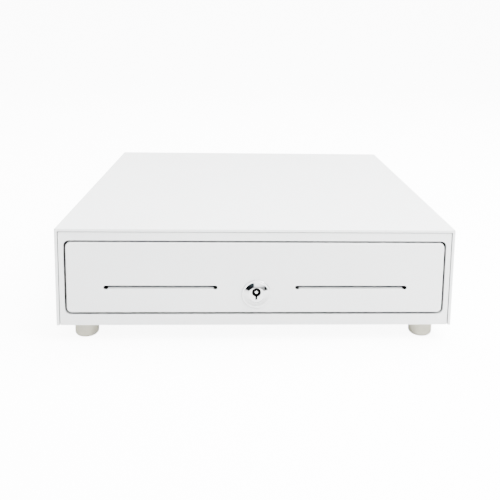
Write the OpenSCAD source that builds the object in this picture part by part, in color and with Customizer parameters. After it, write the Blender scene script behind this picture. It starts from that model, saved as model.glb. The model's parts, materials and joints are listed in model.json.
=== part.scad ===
// Electric cash drawer: a sheet-steel case on rubber feet, a drawer on three-part ball-bearing
// slides, a plastic till with sprung note clips, a cam lock and a solenoid latch at the back.
// Origin: middle of the case in plan, at the bottom of the feet. +Z up, the front faces -Y.

/* [Case] */
// Width of the case
case_w = 410; // [408:0.5:412]
// Depth of the case
case_d = 415; // [415:1:420]
// Height of the case above its feet
case_h = 103; // [103:0.5:106]
// Height of the feet below the case
foot_h = 18; // [14:1:22]
// Radius of a foot
foot_r = 12.3; // [10:0.1:13]
// Distance of a foot's middle from the middle of the case, across
foot_x = 178.5; // [170:0.5:179]
// Distance of a foot's middle from the front or back of the case
foot_inset = 21; // [18:0.5:30]
// Thickness of the cover, frame and pan sheet
sheet = 1.2; // [1:0.1:1.4]
// Thickness of the folded front edge of the cover
hem = 3; // [2.6:0.1:3.4]

/* [Front] */
// Width of the opening in the front frame
open_w = 392.6; // [392:0.1:393]
// Height of the opening in the front frame
open_h = 78.9; // [78:0.1:79.2]
// Height of the opening's lower edge above the case's bottom
open_rise = 11.7; // [11.5:0.1:12.5]
// Gap between the opening and the drawer front
front_gap = 2.2; // [1.8:0.1:2.3]
// Corner radius of the drawer front
front_corner = 5; // [4:0.5:6]
// Height of the lock above the case's bottom
lock_rise = 34; // [34:0.1:34.5]
// Height of the media slots' relief holes above the case's bottom
slot_rise = 40.8; // [40.5:0.1:41]
// Distance of a media slot's inner end from the middle
slot_near = 42.1; // [40:0.1:50]
// Distance of a media slot's outer end from the middle
slot_far = 154.5; // [140:0.1:156]
// Radius of the relief holes at the slots' ends
slot_hole_r = 2.2; // [2:0.1:2.3]
// Radius of the lock's bezel
bezel_r = 15; // [14:0.5:16]

/* [Till] */
// Wall thickness of the till and the coin tray
till_wall = 2; // [1.6:0.1:2.4]
// Number of coin cups across
cup_columns = 4; // [3:1:5]
// Number of coin cups from front to back
cup_rows = 2; // [1:1:2]
// Length of a note clip from its rod to its tip
clip_len = 80; // [70:1:85]

/* [Slides] */
// Length of the slides
slide_len = 345; // [330:1:345]
// Radius of the bearing balls
ball_r = 1.6; // [1.5:0.1:1.6]

/* [Hidden] */
$fn = 48;

// A cut passes this far beyond what it cuts
eps = 0.5;

// Case planes
half_w = case_w / 2;
front_y = -case_d / 2;
back_y = case_d / 2;
base_z = foot_h;
top_z = foot_h + case_h;
pan_z = base_z + sheet;
pan_top = pan_z + sheet;
inner_half = half_w - sheet;

// Front frame and its opening
seam = 0.8;
frame_y = front_y + 0.8;
frame_plate = 1.5;
frame_half = half_w - hem - seam;
frame_top = top_z - hem - seam;
open_z = base_z + open_rise;
open_mid_z = open_z + open_h / 2;
lip_depth = 4;
keeper_depth = 15.2;

// Drawer front
front_w = open_w - 2 * front_gap;
front_h = open_h - 2 * front_gap;
front_z = open_z + front_gap;
front_depth = 15;
edge_r = 1.4;
lock_z = base_z + lock_rise;
slot_z = base_z + slot_rise;

// Slides, from the rail's face inwards
slide_t = 12.7;
slide_h = 35;
slide_sheet = 1.2;
rail_x = 197.2;
box_half = rail_x - slide_t;
slide_mid_z = open_z + 33.2;
slide_y = front_y + 17.5;
slide_gap = 1;
outer_race = slide_h / 2 - slide_sheet;
middle_half_h = outer_race - 2 * ball_r;
inner_race = middle_half_h - slide_sheet;
inner_half_h = inner_race - 2 * ball_r;
middle_x = rail_x - slide_sheet - slide_gap;
cage_y0 = slide_y + 84;
cage_y1 = slide_y + 259;

// Drawer tray
tray_sheet = 1;
tray_z = open_z + 2.7;
tray_floor = tray_z + tray_sheet;
tray_top = open_z + 68.2;
tray_y = front_y + front_depth;
tray_back = tray_y + 352.5;

// Till
till_top = tray_top + 3;
till_floor = tray_z + 31.6;
till_under = till_floor - till_wall;
till_half = 176;
till_front = tray_y + 18.5;
till_back = tray_back - 10;
rim = 1.8;
rim_half = box_half - tray_sheet - 0.8;
coin_depth = 132;
note_front = till_front + 2 * till_wall + coin_depth;
note_back = till_back - till_wall;
note_count = 5;
note_w = (2 * till_half - till_wall * (note_count + 1)) / note_count;

// Note clips
rod_r = 2;
rod_y = note_back - 9;
rod_z = till_top - 7;
hub_r = 5.5;
hub_w = 20;
run_gap = 0.05;
clip_w = 15;
tip_r = 2.2;
clip_drop = asin((rod_z - till_floor - tip_r - 0.6) / clip_len);

// Latch at the back
latch_x = -16;
latch_y = tray_back + 34;
hook_z = lock_z + 9;
hook_t = 2;
strike_y = tray_back + 16;
strike_r = 2.5;
platform_z = lock_z - 6.7;
link_y = latch_y - 13;
solenoid_y = link_y;
solenoid_z = hook_z - 1.2;
link_x = latch_x + 0.5;

// Ejector and switch
eject_x = 62;
eject_z = lock_z + 10;
eject_in_r = 6;
plate_y = tray_back + 28;
switch_x = 28;
switch_y = tray_back + 9.5;
switch_z = lock_z + 4;
lever_x = switch_x + 1.2;
lever_y = switch_y - 1.6;
lever_pin_r = 0.5;

// Lock
body_r = 9.4;
plug_r = 8;
dome_h = 3.6;
cam_y = tray_y + 1.7;
cam_t = 2;
cam_len = 26.5;
shaft_r = 2.5;
finger_y = tray_back + 22;

// Interface board and its socket
board_x = -135;
board_z = pan_top + 5.6;
board_t = 1.6;
board_y = tray_back + 6;
socket_w = 13.2;
socket_h = 11.6;
socket_y = back_y - 0.4;

// Where fasteners go
rail_foot_x = 199.8;
side_screw_y = [-120, 0, 120];
frame_screw_x = [-150, -60, 60, 150];
frame_screw_y = front_y + 11;
foot_places = [for (x = [-1, 1], y = [front_y + foot_inset, back_y - foot_inset]) [x * foot_x, y]];
slide_screw_y = [-150, -20, 110];
latch_screw_places = [[-68, tray_back + 12], [-68, tray_back + 38]];
rear_foot_places = [[34, plate_y - 7], [68, plate_y - 7]];
rear_screw_z = [base_z + 26, top_z - 20];
rear_screw_x = half_w - 7;
rear_top_x = [-110, 110];
ear_screw_x = 187.1;

// Colours
white_c = [0.93, 0.94, 0.94];
steel_c = [0.72, 0.73, 0.75];
chrome_c = [0.86, 0.87, 0.88];
black_c = [0.09, 0.09, 0.1];
foot_c = [0.86, 0.84, 0.78];
zinc_c = [0.78, 0.78, 0.74];
brass_c = [0.8, 0.65, 0.3];
board_c = [0.1, 0.35, 0.2];
tape_c = [0.75, 0.6, 0.2];

// ---- Shared shapes ----

// Extrudes an (x, z) outline from y0 to y1
module along_y(y0, y1) {
    translate([0, y1, 0]) rotate([90, 0, 0]) linear_extrude(y1 - y0) children();
}

// Extrudes a (y, z) outline from x0 to x1
module along_x(x0, x1) {
    translate([x0, 0, 0]) rotate([90, 0, 90]) linear_extrude(x1 - x0) children();
}

// Box between two corners
module box(low, high) {
    translate(low) cube(high - low);
}

// Rectangle about the origin with round corners
module round_rect(w, h, r) {
    square([w - 2 * r, h], center = true);
    square([w, h - 2 * r], center = true);
    for (x = [-1, 1], y = [-1, 1])
        translate([x * (w / 2 - r), y * (h / 2 - r)]) circle(r);
}

// Quarter of a disc in the first quadrant
module quarter(r) {
    intersection() {
        circle(r);
        square(r + 1);
    }
}

// Pan-head screw with a cross recess: the head rises along +Z from the origin, the shank goes down
module pan_screw(shank_r, len, head_r, head_h) {
    difference() {
        union() {
            cylinder(r = head_r, h = head_h * 0.55);
            translate([0, 0, head_h * 0.55])
                cylinder(r1 = head_r, r2 = head_r * 0.72, h = head_h * 0.45);
        }
        for (turn = [0, 90])
            rotate([0, 0, turn])
                box([-head_r * 0.55, -0.35, head_h * 0.45], [head_r * 0.55, 0.35, head_h + eps]);
    }
    translate([0, 0, -len]) cylinder(r = shank_r, h = len);
}

// Close-wound wire rings about the Z axis
module coil_rings(ring_r, wire_r, count, pitch) {
    for (i = [0 : count - 1])
        translate([0, 0, i * pitch]) rotate_extrude() translate([ring_r, 0]) circle(wire_r, $fn = 24);
}

// Direction of a route at its point i: the mean of the stretches on both sides
function unit(v) = v / norm(v);
function heading(route, i) =
    let (last = len(route) - 1)
    unit(
        (i > 0 ? unit(route[i] - route[i - 1]) : [0, 0, 0])
        + (i < last ? unit(route[i + 1] - route[i]) : [0, 0, 0])
    );

// Ring of points round a route's point i, square to its heading
function ring(route, i, r, sides) =
    let (ahead = heading(route, i), a = unit(cross(ahead, [0.31, -0.86, 0.41])), b = cross(ahead, a))
    [for (k = [0 : sides - 1]) route[i] + r * (cos(360 * k / sides) * a + sin(360 * k / sides) * b)];

// Round wire through a route's points
module wire(route, r) {
    sides = 8;
    rings = len(route);
    polyhedron(
        points = [for (i = [0 : rings - 1]) each ring(route, i, r, sides)],
        faces = concat(
            [for (i = [0 : rings - 2], k = [0 : sides - 1])
                [i * sides + k, (i + 1) * sides + k, (i + 1) * sides + (k + 1) % sides]],
            [for (i = [0 : rings - 2], k = [0 : sides - 1])
                [i * sides + k, (i + 1) * sides + (k + 1) % sides, i * sides + (k + 1) % sides]],
            [[for (k = [0 : sides - 1]) k]],
            [[for (k = [sides - 1 : -1 : 0]) (rings - 1) * sides + k]]
        ),
        convexity = 6
    );
}

// Channel of a slide, its back at x = 0 and its mouth towards +X, with lips turned in at the mouth
module channel_outline(depth, half_h, lip) {
    t = slide_sheet;
    difference() {
        translate([0, -half_h]) square([depth, 2 * half_h]);
        translate([t, t - half_h]) square([depth - 2 * t, 2 * (half_h - t)]);
        translate([t, t + lip - half_h]) square([depth, 2 * (half_h - t - lip)]);
    }
}

// Solid slab with round corners and a quarter-round edge at its front face, which faces -Y
module soft_front(w, h, depth, corner, e) {
    along_y(e, depth) round_rect(w, h, corner);
    along_y(0, e) round_rect(w - 2 * e, h - 2 * e, corner - e);
    for (side = [-1, 1]) {
        translate([side * (w / 2 - e), e, 0]) mirror([side < 0 ? 1 : 0, 0, 0])
            translate([0, 0, corner - h / 2]) rotate([0, 0, -90]) linear_extrude(h - 2 * corner)
                quarter(e);
        translate([0, e, side * (h / 2 - e)]) mirror([0, 0, side < 0 ? 1 : 0])
            along_x(corner - w / 2, w / 2 - corner) mirror([1, 0]) quarter(e);
        for (up = [-1, 1])
            translate([side * (w / 2 - corner), e, up * (h / 2 - corner)])
                mirror([side < 0 ? 1 : 0, 0, 0]) mirror([0, 0, up < 0 ? 1 : 0])
                    rotate([90, 0, 0]) rotate_extrude(angle = 90)
                        translate([corner - e, 0]) quarter(e);
    }
}

// ---- Case ----

// Top and two sides in one sheet, with a folded front edge and narrow flanges below and behind
module cover() {
    round_out = 1.6;
    flange = 11;
    color(white_c) {
        difference() {
            along_y(front_y + 1, back_y) cover_outline(round_out);
            box([-inner_half, front_y - eps, base_z - eps], [inner_half, back_y + eps, top_z - sheet]);
        }
        // Folded front edge, doubled inwards and rounded
        difference() {
            union() {
                along_y(front_y + 1, front_y + 12) cover_outline(round_out);
                along_y(front_y, front_y + 1) offset_outline(1, round_out - 0.8);
                hem_round(1);
            }
            box([-half_w + hem, front_y - eps, base_z - eps], [half_w - hem, front_y + 13, top_z - hem]);
        }
        for (side = [-1, 1]) {
            difference() {
                translate([side * (half_w - flange / 2 - 0.1), 0, base_z + sheet / 2])
                    cube([flange, case_d - 2 * 22, sheet], center = true);
                for (y = side_screw_y)
                    translate([side * rail_foot_x, y, base_z - eps]) cylinder(r = 1.7, h = 3);
            }
            difference() {
                translate([side * (half_w - flange / 2 - 0.1), back_y - sheet / 2, (base_z + top_z) / 2])
                    cube([flange, sheet, case_h - 6], center = true);
                for (z = rear_screw_z)
                    translate([side * rear_screw_x, back_y + eps, z]) rotate([90, 0, 0])
                        cylinder(r = 1.7, h = 3);
            }
        }
        difference() {
            box([-half_w + 3, back_y - sheet, top_z - flange], [half_w - 3, back_y, top_z - 0.1]);
            for (x = rear_top_x)
                translate([x, back_y + eps, top_z - 7]) rotate([90, 0, 0]) cylinder(r = 1.7, h = 3);
        }
    }
}

// Outside of the cover seen from the front, round at its two upper corners
module cover_outline(r) {
    translate([-half_w, base_z]) square([case_w, case_h - r]);
    translate([-half_w + r, base_z]) square([case_w - 2 * r, case_h]);
    for (side = [-1, 1]) translate([side * (half_w - r), top_z - r]) circle(r);
}

// The same outline drawn in by e along the top and the sides
module offset_outline(e, r) {
    translate([-half_w + e, base_z]) square([case_w - 2 * e, case_h - e - r]);
    translate([-half_w + e + r, base_z]) square([case_w - 2 * (e + r), case_h - e]);
    for (side = [-1, 1]) translate([side * (half_w - e - r), top_z - e - r]) circle(r);
}

// Quarter-round outer edges of the folded front edge
module hem_round(e) {
    along_x(-half_w + 1.6, half_w - 1.6) translate([front_y + e, top_z - e]) circle(e);
    for (side = [-1, 1])
        translate([side * (half_w - e), front_y + e, base_z]) cylinder(r = e, h = case_h - 1.6);
}

// Floor of the case with low side flanges, notched at the front for the cover and the frame
module base_pan() {
    edge = inner_half - 0.2;
    notch = frame_half - sheet - 0.4;
    color(steel_c) difference() {
        union() {
            box([-edge, frame_y + frame_plate + 0.3, pan_z], [edge, back_y - 2.6, pan_top]);
            for (side = [-1, 1])
                translate([side * (edge - sheet / 2), 0, pan_z + 7])
                    cube([sheet, case_d - 60, 14], center = true);
        }
        for (side = [0, 1]) mirror([side, 0, 0])
            box([notch, front_y, pan_z - eps], [half_w, front_y + 20, pan_top + eps]);
        for (p = foot_places) translate([p[0], p[1], pan_z - eps]) cylinder(r = 2.2, h = 3);
        for (side = [-1, 1], y = side_screw_y)
            translate([side * rail_foot_x, y, pan_z - eps]) cylinder(r = 1.7, h = 3);
        for (x = frame_screw_x) translate([x, frame_screw_y, pan_z - eps]) cylinder(r = 1.7, h = 3);
        for (p = concat(latch_screw_places, rear_foot_places))
            translate([p[0], p[1], pan_z - eps]) cylinder(r = 1.7, h = 3);
    }
}

// Face around the drawer: a lip folded back around the opening, deeper below where the lock's cam
// catches behind it, and a flange at the outside, notched for the front feet
module front_frame() {
    mid_z = (base_z + frame_top) / 2;
    frame_h = frame_top - base_z;
    flange = 15;
    color(white_c) difference() {
        union() {
            along_y(frame_y, frame_y + frame_plate) difference() {
                translate([0, mid_z]) round_rect(2 * frame_half, frame_h, 1);
                opening_outline(0);
            }
            along_y(frame_y + frame_plate, frame_y + lip_depth) difference() {
                opening_outline(sheet);
                opening_outline(0);
            }
            box([-frame_half + 12, frame_y + frame_plate, open_z - sheet],
                [frame_half - 12, frame_y + keeper_depth, open_z]);
            along_y(frame_y + frame_plate, frame_y + flange) difference() {
                translate([0, mid_z]) round_rect(2 * frame_half, frame_h, 1);
                translate([0, mid_z]) square([2 * (frame_half - sheet), frame_h - 2 * sheet], center = true);
            }
        }
        for (x = frame_screw_x) translate([x, frame_screw_y, base_z - eps]) cylinder(r = 1.7, h = 3);
        for (side = [-1, 1])
            translate([side * foot_x, front_y + foot_inset, base_z - eps])
                cylinder(r = foot_r + 0.5, h = sheet + 2 * eps);
    }
}

// Outline of the opening, grown by g
module opening_outline(g) {
    translate([0, open_mid_z]) round_rect(open_w + 2 * g, open_h + 2 * g, front_corner + 1 + g);
}

// Back of the case, with a foot on the pan and a cut-out for the socket
module rear_panel() {
    edge = inner_half - 0.3;
    y1 = back_y - sheet;
    color(white_c) difference() {
        union() {
            box([-edge, y1 - sheet, pan_top], [edge, y1, top_z - sheet - 0.2]);
            for (x = [[-98, -80], [84, 180]])
                box([x[0], y1 - 12, pan_top], [x[1], y1 - sheet / 2, pan_top + sheet]);
        }
        translate([board_x, back_y, board_z + board_t + socket_h / 2])
            cube([socket_w + 0.8, 8, socket_h + 0.8], center = true);
        for (side = [-1, 1], z = rear_screw_z)
            translate([side * rear_screw_x, back_y + eps, z]) rotate([90, 0, 0]) cylinder(r = 1.7, h = 6);
        for (x = rear_top_x)
            translate([x, back_y + eps, top_z - 7]) rotate([90, 0, 0]) cylinder(r = 1.7, h = 6);
        for (i = [-5 : 5])
            translate([90 + i * 9, back_y, top_z - 42]) cube([3, 10, 26], center = true);
    }
}

// Rubber foot with a round lower edge and a recess for its bolt
module foot(place) {
    round_r = 4;
    color(foot_c) translate([place[0], place[1], 0]) difference() {
        rotate_extrude($fn = 72) {
            square([foot_r - round_r, pan_z]);
            translate([0, round_r]) square([foot_r, pan_z - round_r]);
            translate([foot_r - round_r, round_r]) circle(round_r);
        }
        translate([0, 0, -eps]) cylinder(r = 5.2, h = 9 + eps);
        cylinder(r = 2.2, h = pan_z + eps);
    }
}

module foot_front_left() foot([-foot_x, front_y + foot_inset]);
module foot_front_right() foot([foot_x, front_y + foot_inset]);
module foot_rear_left() foot([-foot_x, back_y - foot_inset]);
module foot_rear_right() foot([foot_x, back_y - foot_inset]);

// Bolt up through each foot, and its nut on the pan
module foot_bolts() {
    nut_r = 4;
    color(zinc_c) for (p = foot_places) translate([p[0], p[1], 0]) {
        translate([0, 0, 9]) mirror([0, 0, 1]) pan_screw(1.95, pan_top - 9 + 4.4, 4.2, 2.6);
        translate([0, 0, pan_top]) difference() {
            cylinder(r = nut_r, h = 3, $fn = 6);
            translate([0, 0, -eps]) cylinder(r = 2, h = 4);
        }
    }
}

// Screws up through the case's bottom: cover, pan and rails at the sides, frame at the front
module case_screws() {
    color(zinc_c) {
        for (side = [-1, 1], y = side_screw_y)
            translate([side * rail_foot_x, y, base_z]) mirror([0, 0, 1])
                pan_screw(1.55, 4.6, 2.9, 1.8);
        for (x = frame_screw_x)
            translate([x, frame_screw_y, base_z]) mirror([0, 0, 1]) pan_screw(1.55, 5, 2.9, 1.8);
    }
}

// Screws through the cover's rear flanges into the rear panel
module rear_screws() {
    color(zinc_c) {
        for (side = [-1, 1], z = rear_screw_z)
            translate([side * rear_screw_x, back_y, z]) rotate([-90, 0, 0]) pan_screw(1.55, 5, 2.9, 1.6);
        for (x = rear_top_x)
            translate([x, back_y, top_z - 7]) rotate([-90, 0, 0]) pan_screw(1.55, 5, 2.9, 1.6);
    }
}

// Folded rail that carries a slide on the pan
module rail() {
    y0 = slide_y + 2;
    y1 = slide_y + slide_len;
    foot_out = 202.1;
    color(steel_c) difference() {
        union() {
            box([rail_x, y0, pan_top], [rail_x + 1.5, y1, slide_mid_z + slide_h / 2 + 2]);
            box([rail_x, y0, pan_top], [foot_out, y1, pan_top + 1.5]);
            box([rail_x, y0, slide_mid_z + slide_h / 2 + 2],
                [foot_out, y1, slide_mid_z + slide_h / 2 + 3.5]);
        }
        for (y = side_screw_y) translate([rail_foot_x, y, pan_top - eps]) cylinder(r = 1.7, h = 3);
        for (y = slide_screw_y)
            translate([rail_x - eps, y, slide_mid_z]) rotate([0, 90, 0]) cylinder(r = 1.7, h = 3);
    }
}

module rail_right() rail();
module rail_left() mirror([1, 0, 0]) rail();

// ---- Slides ----

// Fixed member of a slide: a channel open inwards, with turned-in lips
module slide_outer() {
    x1 = rail_x;
    depth = 9.6;
    color(steel_c) difference() {
        along_y(slide_y, slide_y + slide_len) translate([x1, slide_mid_z]) mirror([1, 0])
            channel_outline(depth, slide_h / 2, 1.4);
        for (y = slide_screw_y)
            translate([x1 - 3, y, slide_mid_z]) rotate([0, 90, 0]) cylinder(r = 1.7, h = 6);
    }
}

module slide_outer_right() slide_outer();
module slide_outer_left() mirror([1, 0, 0]) slide_outer();

// Middle member, which travels half as far as the drawer
module slide_middle() {
    depth = 8.2;
    color(steel_c) difference() {
        along_y(slide_y + 1, slide_y + slide_len - 4) translate([middle_x, slide_mid_z]) mirror([1, 0])
            channel_outline(depth, middle_half_h, 1.2);
        for (y = [slide_y + 60 : 90 : slide_y + slide_len - 60])
            translate([middle_x - 3, y, slide_mid_z]) rotate([0, 90, 0]) cylinder(r = 6, h = 6);
    }
}

module slide_middle_right() slide_middle();
module slide_middle_left() mirror([1, 0, 0]) slide_middle();

// Inner member on the side of the drawer tray, its flanges towards the rail
module slide_inner() {
    depth = 7.4;
    color(steel_c) difference() {
        along_y(slide_y + 1, slide_y + slide_len - 2) translate([box_half, slide_mid_z])
            channel_outline(depth, inner_half_h, 0);
        for (y = slide_screw_y)
            translate([box_half - 3, y, slide_mid_z]) rotate([0, 90, 0]) cylinder(r = 1.7, h = 6);
    }
}

module slide_inner_right() slide_inner();
module slide_inner_left() mirror([1, 0, 0]) slide_inner();

// Ball cage strips above and below, with a web and loose balls
module ball_cage(race, web_x, web_half, y0, y1) {
    ball_z = race - ball_r;
    ball_x = rail_x - 6;
    balls = [for (i = [0 : 4]) y0 + 8 + i * (y1 - y0 - 16) / 4];
    strip = 0.6;
    reach = 2.1;
    difference() {
        union() {
            if (web_half > 0)
                translate([web_x, (y0 + y1) / 2, slide_mid_z])
                    cube([0.4, y1 - y0, 2 * web_half], center = true);
            for (up = [-1, 1])
                translate([(web_x + ball_x - reach) / 2, (y0 + y1) / 2, slide_mid_z + up * ball_z])
                    cube([web_x - ball_x + reach + 0.4, y1 - y0, strip], center = true);
        }
        for (y = balls, up = [-1, 1])
            translate([ball_x, y, slide_mid_z + up * ball_z])
                cylinder(r = ball_r + 0.15, h = 2, center = true);
    }
    for (y = balls, up = [-1, 1])
        translate([ball_x, y, slide_mid_z + up * ball_z]) sphere(ball_r - 0.02, $fn = 32);
}

// Cages between the outer and middle members
module outer_ball_cages() {
    web = rail_x - slide_sheet - slide_gap / 2;
    color(steel_c) for (side = [0, 1]) mirror([side, 0, 0])
        ball_cage(outer_race, web, outer_race - ball_r, cage_y0, cage_y1);
}

// Cages between the middle and inner members
module inner_ball_cages() {
    web = middle_x - slide_sheet - 0.7;
    color(steel_c) for (side = [0, 1]) mirror([side, 0, 0])
        ball_cage(inner_race, web, 0, cage_y0, cage_y1);
}

// Screws that hold the outer members on the rails
module rail_screws() {
    color(zinc_c) for (side = [0, 1]) mirror([side, 0, 0])
        for (y = slide_screw_y)
            translate([rail_x + 1.5, y, slide_mid_z]) rotate([0, 90, 0]) pan_screw(1.55, 2.7, 2.8, 1.4);
}

// ---- Drawer ----

// White drawer front: a shallow pan with soft edges, two media slots and the lock's hole
module drawer_front() {
    wall = 1.2;
    mid_z = front_z + front_h / 2;
    color(white_c) {
        difference() {
            translate([0, front_y, mid_z]) soft_front(front_w, front_h, front_depth, front_corner, edge_r);
            along_y(front_y + wall, front_y + front_depth - wall) translate([0, mid_z])
                round_rect(front_w - 2 * wall, front_h - 2 * wall, front_corner - wall);
            along_y(front_y + front_depth - wall - eps, front_y + front_depth + eps)
                translate([0, mid_z]) square([front_w - 24, front_h - 18], center = true);
            translate([0, front_y - eps, lock_z]) rotate([-90, 0, 0]) cylinder(r = body_r + 0.1, h = 4);
            for (side = [0, 1]) mirror([side, 0, 0]) {
                for (x = [slot_near, slot_far])
                    translate([x, front_y - eps, slot_z]) rotate([-90, 0, 0])
                        cylinder(r = slot_hole_r, h = 4);
                box([slot_near, front_y - eps, slot_z - slot_hole_r],
                    [slot_far, front_y + 2.5, slot_z + slot_hole_r]);
            }
            for (side = [-1, 1], z = [tray_floor + 5, tray_top - 4])
                translate([side * ear_screw_x, front_y + front_depth + eps, z]) rotate([90, 0, 0])
                    cylinder(r = 1.7, h = 3);
        }
        for (side = [0, 1]) mirror([side, 0, 0]) slot_lip();
    }
}

// Lower lip of a media slot, bent back between the relief holes
module slot_lip() {
    z0 = slot_z - slot_hole_r;
    along_x(slot_near + slot_hole_r, slot_far - slot_hole_r)
        polygon([
            [front_y, z0 - 0.4], [front_y + 0.25, z0 + 0.1], [front_y + 3.6, z0 + 1.7],
            [front_y + 3.9, z0 + 0.7], [front_y + 1.3, z0 - 0.4]
        ]);
}

// Steel tray of the drawer: floor, front, back and sides
module drawer_tray() {
    t = tray_sheet;
    ear = 190;
    color(steel_c) difference() {
        union() {
            box([-box_half, tray_y, tray_z], [box_half, tray_back, tray_floor]);
            for (side = [0, 1]) mirror([side, 0, 0])
                box([box_half - t, tray_y, tray_z], [box_half, tray_back, tray_top]);
            box([-box_half, tray_back - t, tray_z], [box_half, tray_back, tray_top]);
            box([-ear, tray_y, tray_z + 2], [ear, tray_y + t, tray_top + 2]);
            box([-box_half, tray_y, tray_z], [box_half, tray_y + t, tray_z + 3]);
        }
        // Windows behind the media slots and the lock
        for (side = [0, 1]) mirror([side, 0, 0])
            box([slot_near - 4, tray_y - eps, slot_z - 9], [slot_far + 4, tray_y + t + eps, slot_z + 7]);
        box([-12, tray_y - eps, tray_floor], [32, tray_y + t + eps, lock_z + 13]);
        // The cam swings down through this slot
        box([-9, tray_y - eps, tray_z - eps], [25, cam_y + cam_t + 2, tray_floor + eps]);
        translate([0, tray_back - 3, lock_z]) rotate([-90, 0, 0]) cylinder(r = shaft_r + 0.05, h = 6);
        for (side = [0, 1]) mirror([side, 0, 0]) {
            for (y = slide_screw_y)
                translate([box_half - 3, y, slide_mid_z]) rotate([0, 90, 0]) cylinder(r = 1.7, h = 6);
            for (z = [tray_floor + 5, tray_top - 4])
                translate([ear_screw_x, tray_y - eps, z]) rotate([-90, 0, 0]) cylinder(r = 1.7, h = 3);
        }
        for (x = [-7, 7], z = [lock_z + 9.6])
            translate([x, tray_back - 3, z]) rotate([-90, 0, 0]) cylinder(r = 1.3, h = 6);
    }
}

// Screws of the drawer: inner slide members, drawer front and striker
module drawer_screws() {
    color(zinc_c) {
        for (side = [0, 1]) mirror([side, 0, 0]) {
            for (y = slide_screw_y)
                translate([box_half - tray_sheet, y, slide_mid_z]) rotate([0, -90, 0])
                    pan_screw(1.55, 2.1, 2.8, 1.4);
            for (z = [tray_floor + 5, tray_top - 4])
                translate([ear_screw_x, tray_y + tray_sheet, z]) rotate([-90, 0, 0])
                    pan_screw(1.55, 3.5, 2.3, 0.9);
        }
        for (x = [-7, 7])
            translate([x, tray_back - tray_sheet, lock_z + 9.6]) rotate([90, 0, 0])
                pan_screw(1.15, 2.3, 2.2, 1.2);
    }
}

// Angles on the tray's sides that the till's rim rests on
module till_ledges() {
    x1 = box_half - tray_sheet;
    z1 = till_top - rim;
    color(steel_c) for (side = [0, 1]) mirror([side, 0, 0]) {
        box([x1 - 1.2, -150, z1 - 12], [x1, 140, z1]);
        box([till_half + 0.6, -150, z1 - 1.2], [x1, 140, z1]);
    }
}

// U-shaped bracket on the tray's back that holds the striker pin
module striker_bracket() {
    t = 1.5;
    low = lock_z + 4;
    high = lock_z + 16.5;
    color(steel_c) difference() {
        union() {
            box([-10, tray_back, low], [10, tray_back + t, high]);
            box([-5, tray_back, low], [5, strike_y + 4.5, low + t]);
            box([-5, tray_back, high - t], [5, strike_y + 4.5, high]);
        }
        translate([0, strike_y, low - eps]) cylinder(r = strike_r - 0.5, h = 20);
        for (x = [-7, 7])
            translate([x, tray_back - eps, lock_z + 9.6]) rotate([-90, 0, 0]) cylinder(r = 1.3, h = 3);
    }
}

// Pin that the hook catches: full size between the ears, stepped down in them
module striker_pin() {
    low = lock_z + 4;
    high = lock_z + 16.5;
    color(chrome_c) translate([0, strike_y, 0]) {
        translate([0, 0, low + 1.5]) cylinder(r = strike_r, h = high - low - 3);
        translate([0, 0, low]) cylinder(r = strike_r - 0.5, h = high - low);
    }
}

// ---- Lock ----

// Flat flange, a shallow dome around the plug, and the threaded barrel
module lock_body() {
    flange_h = 1;
    dome_out = bezel_r - 2.2;
    dome_sphere = 23;
    barrel = cam_y - front_y - 0.4;
    bore = plug_r + run_gap;
    dome_middle = sqrt(pow(dome_sphere, 2) - pow(bore, 2)) - dome_h;
    color(chrome_c) translate([0, front_y, lock_z]) rotate([-90, 0, 0]) rotate_extrude($fn = 96)
        difference() {
            union() {
                translate([0, -flange_h]) square([bezel_r - 0.5, flange_h]);
                translate([0, 0.5 - flange_h]) square([bezel_r, flange_h - 0.5]);
                translate([bezel_r - 0.5, 0.5 - flange_h]) circle(0.5);
                intersection() {
                    translate([0, dome_middle]) circle(dome_sphere, $fn = 180);
                    translate([0, -dome_h - 1]) square([dome_out, dome_h + 1]);
                }
                translate([0, -eps]) square([body_r, barrel + eps]);
            }
            translate([-1, -dome_h - 2]) square([bore + 1, barrel + dome_h + 4]);
        }
}

// Hexagon nut that clamps the lock behind the drawer front
module lock_nut() {
    color(steel_c) translate([0, front_y + 1.2, lock_z]) rotate([-90, 0, 0]) difference() {
        cylinder(r = 13, h = 4, $fn = 6);
        translate([0, 0, -eps]) cylinder(r = body_r + 0.02, h = 6);
    }
}

// Turning plug with a pipe-key way above its middle: a ring cut around a post, and a slot below
module lock_plug() {
    face = front_y - dome_h + 0.5;
    ring_r = 4.7;
    post_r = 1.5;
    key_rise = 3;
    slot_half = 1.1;
    slot_low = -5;
    key_depth = 9;
    color(chrome_c) translate([0, 0, lock_z]) difference() {
        translate([0, face, 0]) rotate([-90, 0, 0])
            cylinder(r = plug_r, h = cam_y - 0.4 - face, $fn = 72);
        translate([0, face - eps, key_rise]) rotate([-90, 0, 0]) difference() {
            cylinder(r = ring_r, h = key_depth);
            translate([0, 0, -eps]) cylinder(r = post_r, h = key_depth + 1);
        }
        box([-slot_half, face - eps, slot_low], [slot_half, face + key_depth - 1, key_rise - ring_r + 0.6]);
        translate([0, cam_y - 2.4, 0]) rotate([-90, 0, 0]) cylinder(r = shaft_r, h = 4);
    }
}

// Locking cam with its tail shaft, and the finger at the shaft's end that can trip the latch
module lock_shaft() {
    color(zinc_c) {
        along_y(cam_y, cam_y + cam_t) translate([0, lock_z]) {
            circle(7);
            translate([0, -5]) square([cam_len - 5, 10]);
            translate([cam_len - 5, 0]) circle(5);
        }
        translate([0, cam_y - 2.4, lock_z]) rotate([-90, 0, 0])
            cylinder(r = shaft_r, h = finger_y + 2 - cam_y + 2.4);
        along_y(finger_y, finger_y + 2) translate([0, lock_z]) {
            circle(4.5);
            translate([-1.5, 0]) square([3, 12]);
            translate([0, 12]) circle(1.5);
        }
    }
}

// ---- Till ----

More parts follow.
